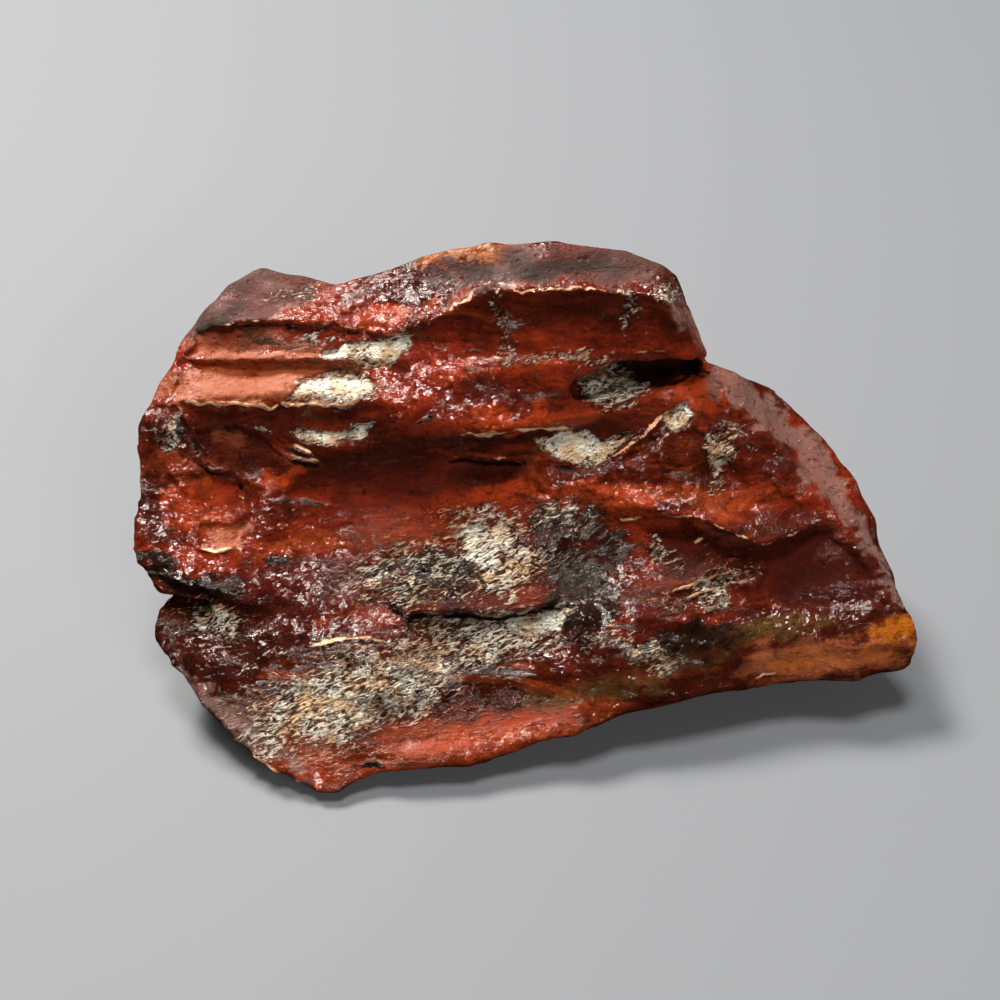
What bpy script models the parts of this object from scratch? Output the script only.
"""A rough hand specimen of red jasper, one solid stone with stepped ledges, flake scars and an open cleft.

The stone lies on the flat fracture face that it rests on. Metres, +Z up, +X along the stone's length,
with the broken, stepped front facing -Y. The origin is at the middle of the stone's base.
"""

import math

import bmesh
import bpy
import numpy as np
from mathutils import Matrix, Vector, noise
from mathutils.bvhtree import BVHTree

# Driving dimensions. The ridges and scars below are drafted in millimetres on a stone of this length.
LENGTH = 0.0655
DRAFTED_LENGTH_MM = 65.5
MM = LENGTH / DRAFTED_LENGTH_MM

GRAIN_CELL = 0.4 * MM  # mesh spacing at which the fracture surface is worked
MOST_TRIANGLES = 9800  # of the finished solid

JASPER_COLOUR = (0.23, 0.035, 0.018, 1.0)
JASPER_ROUGHNESS = 0.32

# Ridges that run along the stone from its left end to its right tip, as (x, y, z) in drafted millimetres.
# They go round the stone: up the broken front, over the crest, down the back and along the underside.
RIDGES = {
    "foot": (
        (-31.0, -11.0, 7.5), (-26.5, -15.9, 4.5), (-22.0, -19.4, 2.4), (-16.0, -22.0, 1.0), (-10.5, -20.5, 2.0),
        (-3.0, -19.5, 2.5), (3.5, -18.5, 3.5), (8.5, -16.5, 4.5), (13.5, -15.5, 5.0), (17.5, -14.5, 5.0),
        (23.0, -13.5, 5.0), (28.0, -13.5, 5.0), (32.6, -12.0, 5.0),
    ),
    "lower lip": (
        (-30.5, -9.0, 10.0), (-25.0, -11.0, 8.5), (-21.0, -11.5, 8.0), (-15.5, -11.5, 8.5), (-10.0, -11.0, 9.5),
        (-3.5, -11.0, 9.5), (3.5, -10.5, 10.5), (8.5, -12.5, 9.5), (13.5, -12.5, 9.0), (17.5, -12.0, 8.5),
        (23.0, -11.5, 8.0), (28.0, -12.0, 7.5), (33.3, -11.0, 7.0),
    ),
    "shoulder": (
        (-32.5, -6.0, 12.5), (-25.5, -6.5, 13.0), (-21.5, -6.0, 12.0), (-16.0, -4.0, 12.0), (-10.0, -2.0, 13.5),
        (-3.5, -1.5, 14.0), (3.0, -2.5, 15.0), (8.0, -3.5, 14.0), (13.5, -7.0, 13.0), (17.5, -6.5, 12.5),
        (23.0, -7.5, 11.0), (28.0, -9.5, 9.5), (33.3, -10.0, 8.0),
    ),
    "shelf": (
        (-32.9, -2.3, 15.6), (-27.0, -1.0, 17.5), (-22.0, 1.0, 18.0), (-16.0, 0.5, 19.0), (-9.5, 1.0, 19.0),
        (-4.5, 1.0, 18.5), (3.0, 0.0, 18.0), (8.0, -0.5, 17.0), (14.0, -1.0, 17.5), (17.5, -1.0, 16.5),
        (23.0, -2.5, 14.0), (28.0, -7.0, 11.0), (32.6, -9.0, 9.0),
    ),
    "terrace lip": (
        (-32.4, 1.8, 19.6), (-28.0, 2.5, 22.0), (-22.0, 2.5, 21.5), (-16.0, 2.0, 22.0), (-9.0, 2.5, 21.5),
        (-3.5, 1.5, 20.0), (2.5, 1.5, 19.5), (8.0, 2.0, 19.5), (13.5, 4.0, 22.5), (17.0, 3.5, 20.5),
        (22.5, 1.5, 17.8), (28.0, -4.5, 13.2), (32.0, -7.5, 9.5),
    ),
    "terrace foot": (
        (-30.6, 5.7, 21.6), (-28.2, 6.5, 23.0), (-22.0, 7.0, 22.5), (-16.0, 6.5, 23.0), (-9.5, 6.5, 24.5),
        (-3.0, 5.0, 24.0), (3.0, 5.0, 24.5), (8.5, 5.5, 24.0), (13.5, 5.0, 25.0), (16.0, 6.0, 22.0),
        (22.0, 3.5, 17.5), (27.5, -2.5, 12.5), (31.5, -7.0, 9.5),
    ),
    "crest": (
        (-29.0, 8.1, 23.6), (-26.8, 8.6, 25.0), (-22.0, 9.0, 25.0), (-16.0, 9.0, 25.5), (-9.5, 7.5, 26.0),
        (-3.0, 7.5, 29.5), (3.0, 7.5, 30.0), (8.0, 7.5, 29.5), (13.4, 6.1, 29.0), (16.0, 6.5, 22.0),
        (22.0, 5.5, 18.0), (28.0, -0.5, 13.0), (31.5, -6.0, 9.5),
    ),
    "back crest": (
        (-27.9, 10.2, 24.7), (-25.3, 12.4, 26.5), (-22.6, 14.8, 26.6), (-16.0, 13.3, 26.1), (-9.0, 14.2, 28.4),
        (-3.5, 12.9, 30.9), (3.0, 12.0, 31.0), (8.5, 12.0, 30.5), (12.2, 10.0, 29.4), (15.5, 7.5, 22.0),
        (22.4, 8.5, 18.3), (29.0, 2.4, 13.2), (31.0, -4.0, 9.5),
    ),
    "back shoulder": (
        (-28.0, 12.4, 21.0), (-25.6, 16.2, 22.4), (-21.0, 17.5, 22.0), (-15.5, 17.0, 22.5), (-9.0, 17.0, 23.5),
        (-3.5, 16.5, 25.0), (3.0, 16.5, 25.5), (8.5, 16.0, 25.0), (13.0, 14.0, 24.0), (17.0, 11.5, 18.0),
        (23.2, 10.6, 14.8), (28.8, 5.6, 10.8), (31.0, -2.0, 8.0),
    ),
    "back belly": (
        (-27.5, 12.5, 11.0), (-24.0, 17.0, 12.0), (-20.0, 19.5, 12.0), (-14.5, 19.5, 12.5), (-8.5, 19.0, 13.0),
        (-3.0, 18.5, 13.0), (3.0, 18.5, 13.0), (9.0, 18.0, 12.5), (14.0, 16.5, 12.0), (18.0, 14.0, 10.5),
        (23.0, 11.0, 9.0), (27.5, 6.0, 7.5), (30.5, 0.0, 6.5),
    ),
    "back foot": (
        (-25.5, 10.0, 2.5), (-22.5, 14.0, 2.5), (-19.0, 16.0, 2.5), (-14.0, 16.5, 2.5), (-8.5, 16.5, 2.5),
        (-3.0, 16.5, 2.5), (3.0, 16.5, 2.5), (8.5, 16.0, 2.5), (13.5, 14.0, 2.5), (17.5, 12.0, 2.5),
        (22.0, 9.0, 2.5), (26.0, 4.0, 3.0), (29.0, -1.0, 4.0),
    ),
    "base back": (
        (-24.0, 7.0, -0.6), (-21.0, 11.0, -0.6), (-18.0, 13.0, -0.6), (-13.5, 14.0, -0.6), (-8.5, 14.5, -0.6),
        (-3.0, 14.5, -0.6), (3.0, 14.0, -0.6), (8.0, 13.0, -0.6), (12.5, 11.5, -0.6), (16.5, 9.5, -0.6),
        (20.5, 6.0, -0.6), (24.5, 1.0, -0.2), (28.0, -4.0, 2.5),
    ),
    "base front": (
        (-25.5, -3.0, -0.2), (-22.0, -8.0, -0.6), (-19.0, -13.0, -0.6), (-15.5, -18.5, -0.6), (-10.5, -16.0, -0.6),
        (-3.5, -14.0, -0.6), (3.0, -12.5, -0.6), (8.0, -11.0, -0.6), (13.0, -10.0, -0.6), (17.0, -9.5, -0.6),
        (21.5, -9.0, -0.6), (25.0, -8.0, -0.2), (29.0, -9.0, 2.5),
    ),
}

# Flat fractures that shave the hull: a point on the face, in drafted millimetres, and the way that it faces.
FRACTURES = (
    ((-24.5, -17.6, 4.4), (-0.66, -0.71, -0.24)),
    ((-23.4, 16.8, 12.0), (-0.62, 0.74, 0.08)),
    ((0.0, 17.6, 12.0), (0.10, 0.97, 0.16)),
    ((12.5, 16.2, 9.0), (0.50, 0.84, -0.18)),
    ((23.6, 10.4, 10.0), (0.72, 0.66, 0.08)),
    ((-12.0, 15.6, 3.0), (-0.12, 0.72, -0.68)),
    ((-27.4, 3.0, 3.0), (-0.84, 0.10, -0.53)),
)

# Scars left by conchoidal flakes: a point near the face, how far the scar reaches along and across, its depth
# in drafted millimetres, and its turn in degrees about the way that the face looks.
FLAKE_SCARS = (
    ((-14.5, -1.5, 15.5), 8.0, 3.4, 0.8, 4),
    ((-4.0, 0.0, 16.5), 6.0, 2.6, 1.0, 0),
    ((-24.5, -2.0, 16.0), 3.8, 2.4, 0.6, 24),
    ((5.2, 0.8, 18.8), 3.6, 2.0, 0.9, 8),
    ((11.5, -6.5, 12.0), 9.4, 3.4, 0.9, 10),
    ((22.5, -8.5, 10.5), 7.4, 2.8, 0.7, 14),
    ((-8.0, -16.5, 5.0), 11.0, 3.6, 0.9, 4),
    ((17.5, -2.0, 16.0), 4.0, 2.8, 0.8, -20),
    ((-4.5, 6.0, 27.0), 3.4, 2.6, 0.8, 0),
    ((4.0, 6.2, 27.2), 4.4, 2.7, 0.9, 0),
    ((10.5, 6.3, 27.5), 3.0, 2.5, 0.7, 0),
    ((5.0, 10.0, 30.5), 7.5, 2.8, 0.7, 0),
    ((-6.5, 10.5, 28.8), 5.0, 3.4, 0.8, 20),
    ((25.0, 2.0, 16.0), 7.0, 2.4, 0.4, -38),
    ((-15.0, 18.0, 17.0), 8.5, 5.0, 1.2, 0),
    ((3.0, 17.5, 8.0), 9.0, 5.0, 1.3, 0),
    ((15.0, 13.5, 17.0), 6.5, 5.0, 1.2, 20),
    ((-28.0, 5.0, 9.0), 5.0, 5.0, 1.0, 0),
    ((8.0, -13.5, 2.0), 8.0, 3.4, 1.0, 0),
    ((-19.0, 14.5, 5.0), 6.0, 4.0, 1.0, 0),
    ((8.0, 17.5, 19.0), 6.0, 3.6, 1.4, -12),
    ((-6.0, 17.0, 21.0), 5.0, 3.0, 1.2, 16),
    ((22.5, 11.5, 6.5), 5.5, 3.4, 1.1, 24),
    ((-14.0, 19.0, 7.5), 5.6, 2.8, 1.1, -10),
)

# Open clefts along the bedding: middle, half sizes along, into and up the stone in drafted millimetres, and
# turns in degrees about X, then about Z.
CLEFTS = (
    ((11.4, 6.6, 21.9), (4.8, 4.4, 1.4), -30, 8),
    ((14.4, 4.6, 22.7), (2.6, 2.8, 0.9), -30, -4),
    ((6.4, 5.0, 21.6), (3.0, 2.2, 1.5), -38, 20),
    ((-29.6, -8.2, 9.2), (4.2, 3.0, 1.2), -22, -12),
)

# Ledges and ridges of the broken front, drawn on a sheet that leans back at 45 degrees against it. Each point
# is (x, s) in drafted millimetres, with s up the sheet. Then come the rise of the surface just above the line
# and how far it fades, and the same just below the line.
FRONT_LINES = {
    "upper terrace foot": (
        ((-27.5, 20.4), (-20.0, 20.6), (-13.0, 20.5), (-8.0, 20.9)), 0.8, 3.4, -0.3, 1.5,
    ),
    "lower terrace lip": (
        ((-29.0, 17.2), (-23.0, 17.3), (-17.0, 17.5), (-14.0, 17.1), (-9.5, 16.8)), 0.5, 2.0, -1.1, 3.0,
    ),
    "smile under the lip": (
        ((-20.0, 15.8), (-17.0, 14.4), (-13.5, 13.8), (-10.5, 15.0)), -0.5, 1.6, 0.4, 1.6,
    ),
    "scarp foot": (
        ((-8.0, 20.6), (-2.0, 21.0), (3.0, 20.8), (6.0, 20.9)), -0.5, 2.2, 0.3, 2.0,
    ),
    "tongue": (
        ((-7.0, 14.6), (-4.5, 14.3), (-2.0, 14.8), (2.0, 15.1), (5.5, 15.8)), 0.6, 2.8, -0.9, 1.5,
    ),
    "small shelf": (
        ((-7.2, 12.8), (-4.5, 12.4), (-2.0, 12.4), (1.5, 13.2)), 1.0, 1.0, -0.9, 2.4,
    ),
    "pale bowl": (
        ((1.0, 13.4), (3.2, 11.9), (6.2, 11.7), (9.6, 12.9), (12.8, 16.0), (14.5, 18.6)), -0.9, 1.8, 0.6, 3.0,
    ),
    "curving ledge": (
        ((6.0, 8.2), (9.6, 8.3), (13.0, 7.5), (16.2, 5.5), (19.4, 5.0), (22.8, 6.0), (25.5, 7.6)),
        0.9, 3.0, -1.0, 4.2,
    ),
    "scoop step": (
        ((13.0, 2.4), (16.0, 3.2), (18.5, 1.6), (19.0, -0.6)), 0.5, 1.4, -0.6, 1.8,
    ),
    "crack": (
        ((-10.5, -0.8), (-6.0, -0.4), (-2.0, -0.2), (2.0, 0.0), (4.5, 0.4)), 0.8, 1.6, -0.9, 2.2,
    ),
    "lower ridge": (
        ((-19.5, -3.2), (-15.5, -2.6), (-12.6, -2.3), (-8.5, -2.8)), 0.5, 1.0, 0.5, 2.0,
    ),
    "dark band over the left cavity": (
        ((-27.0, 2.0), (-23.0, 0.2), (-19.5, -0.2)), 0.4, 2.0, -0.9, 2.4,
    ),
    "edge of the left face": (
        ((-21.5, 15.5), (-20.2, 12.0), (-19.8, 8.5), (-21.0, 3.6)), 0.3, 2.5, 0.5, 3.5,
    ),
    "groove in the scarp": (
        ((-2.0, 26.4), (-2.4, 23.8), (-1.8, 21.2)), -0.9, 0.7, -0.9, 0.7,
    ),
    "bevel edge": (
        ((14.5, 19.9), (17.8, 17.8), (19.8, 15.8), (22.7, 12.1), (25.2, 8.8), (27.7, 5.5), (30.1, 1.0)),
        0.3, 1.6, 0.5, 1.6,
    ),
    "wavy band": (
        ((-7.8, 8.8), (-4.0, 9.3), (-1.5, 9.9), (3.0, 9.2), (7.0, 10.0)), 0.3, 1.4, 0.3, 2.0,
    ),
    "dark patch": (
        ((6.2, -1.2), (10.4, -0.8), (14.4, -1.4), (16.2, -3.2)), 0.4, 1.6, -0.5, 2.2,
    ),
    "facet edge on the right": (
        ((16.0, 15.6), (16.8, 13.4), (18.0, 11.0), (17.4, 9.0)), 0.6, 1.6, -0.3, 1.2,
    ),
}
LINE_EDGE = 0.35  # half width of the step at a line, so that no line is sharper than the grain
LINE_TAPER = 4.5  # length over which a line dies out at each end
TOWARDS_SHEET = Vector((0.0, -1.0, 1.0)).normalized()
UP_SHEET = Vector((0.0, 1.0, 1.0)).normalized()

# The beds lie nearly level and dip a little to the front. On the back each starts with a small step: its
# height above the base, measured square to the beds, and how far its lower edge stands proud.
BED_UP = Vector((0.0, -0.22, 0.975)).normalized()
BED_STEPS = (
    (2.0, 0.4), (6.0, 0.6), (9.6, 0.3), (12.4, 0.7), (15.0, 0.4), (18.4, 0.6), (20.4, 0.3), (23.6, 0.5),
    (26.6, 0.4), (30.0, 0.3),
)
BED_WAVE = (11.0, 0.9)  # size and height of the waves in the beds
BED_PATCHES = 8.0  # size of the patches over which the steps come and go

# Chips: shallow bowls packed side by side that meet in sharp ridges. Size, depth, and how much longer a chip
# is along the stone than across it.
CHIPS = ((6.5, 0.8, 1.7), (3.0, 0.32, 1.6))
CHIP_LEVEL = 0.3  # share of a chip's depth that counts as level with the surface around

# The bed steps stay off the front and come and go in patches: how sharply they fade there.
BACK_SHARE = 0.3
BACK_FADE = 1.5
PATCH_FADE = 1.6

CLEFT_END = (0.8, 0.35)  # width and height of a cleft's inner end, as shares of its mouth

# Slow swells of the fracture surface: size of the swell and height, in drafted millimetres.
SWELLS = ((9.0, 0.35), (3.5, 0.12))


def clear_scene():
    """Removes whatever objects the file was opened with."""
    for old in list(bpy.data.objects):
        bpy.data.objects.remove(old, do_unlink=True)


def collection_named(name):
    """A new collection in the scene."""
    made = bpy.data.collections.new(name)
    bpy.context.scene.collection.children.link(made)
    return made


def object_from(mesh_builder, name, collection):
    """Turns a bmesh into a named object of a collection."""
    mesh = bpy.data.meshes.new(name)
    mesh_builder.to_mesh(mesh)
    mesh_builder.free()
    made = bpy.data.objects.new(name, mesh)
    collection.objects.link(made)
    return made


def jasper_material():
    """Glossy brownish-red silica."""
    material = bpy.data.materials.new("red_jasper")
    material.use_nodes = True
    shader = material.node_tree.nodes["Principled BSDF"]
    shader.inputs["Base Color"].default_value = JASPER_COLOUR
    shader.inputs["Roughness"].default_value = JASPER_ROUGHNESS
    shader.inputs["Metallic"].default_value = 0.0
    return material


def hull_from_ridges():
    """A closed loft over the ridges: quads between neighbouring ridges and a fan of faces over each end."""
    hull = bmesh.new()
    rows = [[hull.verts.new(Vector(point) * MM) for point in ridge] for ridge in RIDGES.values()]
    for below, above in zip(rows, rows[1:] + rows[:1]):
        for i in range(len(below) - 1):
            hull.faces.new((below[i], below[i + 1], above[i + 1], above[i]))
    for end in (0, -1):
        rim = [row[end] for row in rows]
        middle = hull.verts.new(sum((v.co for v in rim), Vector()) / len(rim))
        for a, b in zip(rim, rim[1:] + rim[:1]):
            hull.faces.new((a, b, middle))
    bmesh.ops.triangulate(hull, faces=hull.faces[:])
    bmesh.ops.recalc_face_normals(hull, faces=hull.faces[:])
    return hull


def cut_flat(solid, point, facing):
    """Takes off what lies beyond a plane and closes the solid with a flat face there."""
    parts = solid.verts[:] + solid.edges[:] + solid.faces[:]
    cut = bmesh.ops.bisect_plane(
        solid, geom=parts, dist=1e-7, plane_co=point, plane_no=facing, clear_outer=True
    )
    edges = [part for part in cut["geom_cut"] if isinstance(part, bmesh.types.BMEdge)]
    if edges:
        bmesh.ops.holes_fill(solid, edges=edges)
    bmesh.ops.triangulate(solid, faces=[face for face in solid.faces if len(face.verts) > 3])


def flake_scar_cutter(surface, at, reach_along, reach_across, depth, turn, collection):
    """An ellipsoid that takes a shallow bowl out of the surface nearest to a point."""
    spot, facing, _, _ = surface.find_nearest(Vector(at) * MM)
    along, across, deep = reach_along * MM, reach_across * MM, depth * MM
    radius = (along * along + deep * deep) / (2 * deep)
    ball = bmesh.new()
    bmesh.ops.create_icosphere(ball, subdivisions=4, radius=radius)
    sideways = Vector((1, 0, 0)) - facing * facing.x
    sideways.normalize()
    upward = facing.cross(sideways)
    frame = Matrix((sideways, upward, facing)).transposed().to_4x4()
    shape = Matrix.Diagonal((1.0, across / along, 1.0, 1.0))
    spin = Matrix.Rotation(math.radians(turn), 4, "Z")
    place = Matrix.Translation(spot + facing * (radius - deep))
    bmesh.ops.transform(ball, matrix=place @ frame @ spin @ shape, verts=ball.verts[:])
    return object_from(ball, "flake_scar_cutter", collection)


def cleft_cutter(middle, half_sizes, turn_x, turn_z, collection):
    """A flattened wedge with a blunt inner end, for a gap along the bedding."""
    wedge = bmesh.new()
    bmesh.ops.create_cube(wedge, size=2.0)
    for corner in wedge.verts:
        if corner.co.y > 0:
            corner.co.x *= CLEFT_END[0]
            corner.co.z *= CLEFT_END[1]
    bmesh.ops.subdivide_edges(wedge, edges=wedge.edges[:], cuts=3, use_grid_fill=True)
    size = Matrix.Diagonal((*(Vector(half_sizes) * MM), 1.0))
    turn = Matrix.Rotation(math.radians(turn_z), 4, "Z") @ Matrix.Rotation(math.radians(turn_x), 4, "X")
    place = Matrix.Translation(Vector(middle) * MM)
    bmesh.ops.transform(wedge, matrix=place @ turn @ size, verts=wedge.verts[:])
    return object_from(wedge, "cleft_cutter", collection)


def add_cut(solid, cutter):
    """Takes the cutter out of the solid, and keeps the cutter itself out of renders."""
    cutter.hide_render = True
    cutter.display_type = "WIRE"
    cut = solid.modifiers.new(cutter.name, "BOOLEAN")
    cut.operation = "DIFFERENCE"
    cut.object = cutter


def evaluated_mesh(source):
    """The object's mesh with its modifiers, as a new mesh."""
    bpy.context.view_layer.update()
    graph = bpy.context.evaluated_depsgraph_get()
    return bpy.data.meshes.new_from_object(source.evaluated_get(graph))


def swell(point):
    """How far the fracture surface swells out at a point, both in drafted millimetres."""
    return sum(rise * noise.noise(point / size) for size, rise in SWELLS)


def chip(point):
    """Height of the chips at a point: low in the middle of each bowl and highest on the ridges between."""
    height = 0.0
    for size, depth, stretch in CHIPS:
        seat = Vector((point.x / stretch, point.y, point.z)) / size
        nearest = noise.voronoi(seat)[0][0]
        height += depth * (min(nearest * nearest, 1.0) - CHIP_LEVEL)
    return height


def bed_step(point, facing):
    """Height of the bed steps at a point: each bed stands proud at its lower edge and fades upwards."""
    size, rise = BED_WAVE
    level = point.dot(BED_UP) + rise * noise.noise(point / size)
    patch = min(max(0.5 + PATCH_FADE * noise.noise(point / BED_PATCHES), 0.0), 1.0)
    behind = min(max(BACK_SHARE - BACK_FADE * facing.dot(TOWARDS_SHEET), 0.0), 1.0)
    for (low, proud), (high, _) in zip(BED_STEPS, BED_STEPS[1:]):
        if low <= level < high:
            edge = min((level - low) / LINE_EDGE, 1.0)
            return proud * patch * behind * edge * (1.0 - (level - low) / (high - low)) ** 2
    return 0.0


def line_rises(points, facings):
    """Height of the front's ledges and ridges at each of many points, in drafted millimetres."""
    sheet = np.column_stack((points[:, 0], points @ np.array(UP_SHEET)))
    in_front = np.clip(facings @ np.array(TOWARDS_SHEET) * 3.0, 0.0, 1.0)
    rises = np.zeros(len(points))
    for corners, rise_above, fade_above, rise_below, fade_below in FRONT_LINES.values():
        corners = np.array(corners)
        spans = np.linalg.norm(np.diff(corners, axis=0), axis=1)
        starts = np.concatenate(([0.0], np.cumsum(spans)))
        away = np.full(len(points), np.inf)
        side = np.zeros(len(points))
        reached = np.zeros(len(points))
        for a, b, span, start in zip(corners, corners[1:], spans, starts):
            along = (b - a) / span
            offset = sheet - a
            step = np.clip(offset @ along, 0.0, span)
            gap = np.linalg.norm(offset - step[:, None] * along, axis=1)
            nearer = gap < away
            away[nearer] = gap[nearer]
            side[nearer] = (offset @ np.array((-along[1], along[0])))[nearer]
            reached[nearer] = start + step[nearer]
        taper = min(LINE_TAPER, 0.45 * starts[-1])
        ends = np.clip(np.minimum(reached, starts[-1] - reached) / taper, 0.0, 1.0)
        strength = in_front * ends * ends * (3.0 - 2.0 * ends)
        mix = np.clip(0.5 + side / (2.0 * LINE_EDGE), 0.0, 1.0)
        above = rise_above * np.exp(-away / fade_above)
        below = rise_below * np.exp(-away / fade_below)
        rises += strength * (mix * above + (1.0 - mix) * below)
    return rises


def roughen(mesh):
    """Moves each vertex of the worked surface along its normal by the lines, steps, chips and swells there."""
    mesh.update()
    points = [vertex.co / MM for vertex in mesh.vertices]
    normals = [vertex.normal.copy() for vertex in mesh.vertices]
    lines = line_rises(np.array(points), np.array(normals))
    for vertex, point, facing, line in zip(mesh.vertices, points, normals, lines):
        rise = line + swell(point) + chip(point) + bed_step(point, facing)
        vertex.co = (point + facing * rise) * MM


def centre_on_base(mesh):
    """Moves the stone so that the middle of its box is over the origin and its flat face is at z = 0."""
    points = np.array([vertex.co for vertex in mesh.vertices])
    middle = (points.min(axis=0) + points.max(axis=0)) / 2
    mesh.transform(Matrix.Translation((-middle[0], -middle[1], 0.0)))


def build_jasper():
    """The stone: hull, flat fractures, scars and clefts, then the swells and the flat face below."""
    stone_parts = collection_named("rough_jasper")
    cutters = collection_named("cutters")
    hull = hull_from_ridges()
    for point, facing in FRACTURES:
        cut_flat(hull, Vector(point) * MM, Vector(facing).normalized())
    bmesh.ops.recalc_face_normals(hull, faces=hull.faces[:])
    surface = BVHTree.FromBMesh(hull)
    blank = object_from(hull, "blank", cutters)
    for scar in FLAKE_SCARS:
        add_cut(blank, flake_scar_cutter(surface, *scar, cutters))
    for cleft in CLEFTS:
        add_cut(blank, cleft_cutter(*cleft, cutters))
    blank.hide_render = True
    remesh = blank.modifiers.new("worked_surface", "REMESH")
    remesh.mode = "VOXEL"
    remesh.voxel_size = GRAIN_CELL
    calm = blank.modifiers.new("calm_grain", "SMOOTH")
    calm.factor = 0.5
    calm.iterations = 3

    worked = evaluated_mesh(blank)
    roughen(worked)
    stone = bpy.data.objects.new("jasper_stone", worked)
    stone_parts.objects.link(stone)
    fewer = stone.modifiers.new("fewer_faces", "DECIMATE")
    fewer.ratio = MOST_TRIANGLES / (2 * len(worked.polygons))
    fewer.use_collapse_triangulate = True

    trimmed = bmesh.new()
    trimmed.from_mesh(evaluated_mesh(stone))
    cut_flat(trimmed, Vector((0, 0, 0)), Vector((0, 0, -1)))
    stone.modifiers.clear()
    trimmed.to_mesh(worked)
    trimmed.free()
    centre_on_base(worked)
    worked.materials.clear()
    worked.materials.append(jasper_material())
    return stone


clear_scene()
build_jasper()
